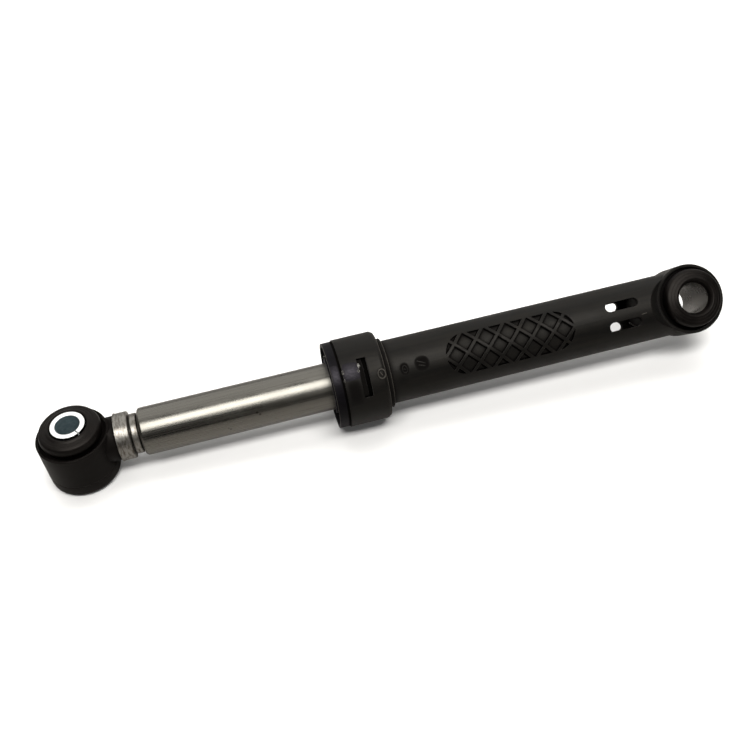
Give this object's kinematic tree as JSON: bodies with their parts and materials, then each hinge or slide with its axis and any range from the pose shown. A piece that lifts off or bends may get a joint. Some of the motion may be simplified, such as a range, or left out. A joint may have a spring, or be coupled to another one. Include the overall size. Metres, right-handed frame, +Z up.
{
  "type": "washing machine shock absorber",
  "caption": "Friction damper: a steel rod tube slides in a black moulded barrel with a diamond grip, and rubber-bushed eyes at both ends take the bolts.",
  "frame": {"origin": "centre of the barrel eye's bore", "axes": "+X along the damper from the rod eye to the barrel eye, +Z up and along the rod eye's bore as it lies"},
  "size_m": [0.2962, 0.0387, 0.0386],
  "materials": {
    "drawn_steel": "drawn, bright, lightly oiled",
    "eye_plastic": "moulded, satin",
    "bush_rubber": "moulded, matte",
    "zinc_sleeve": "rolled strip, zinc plated",
    "inner_plastic": "moulded",
    "guide_plastic": "natural acetal",
    "barrel_plastic": "glass-filled, satin",
    "cartridge_plastic": "moulded, satin",
    "greased_foam": "open foam soaked in grease"
  },
  "bodies": {
    "barrel": {"barrel": "barrel_plastic", "barrel_eye_bush": "bush_rubber", "guide_cartridge": "cartridge_plastic", "friction_lining": "greased_foam", "backing_ring": "inner_plastic"},
    "guide_ring": {"guide_ring": "guide_plastic"},
    "rod": {"rod_tube": "drawn_steel", "rod_eye": "eye_plastic", "rod_eye_bush": "bush_rubber", "rod_eye_sleeve": "zinc_sleeve", "piston_head": "inner_plastic"}
  },
  "joints": [
    {"name": "rod_slide", "type": "slide", "parent": "barrel", "child": "guide_ring", "axis": [1, 0, 0], "range_m": [-0.02, 0.08]},
    {"name": "rod_turn", "type": "hinge", "parent": "guide_ring", "child": "rod", "pos_m": [-0.11, 0, 0], "axis": [1, 0, 0], "continuous": true}
  ]
}
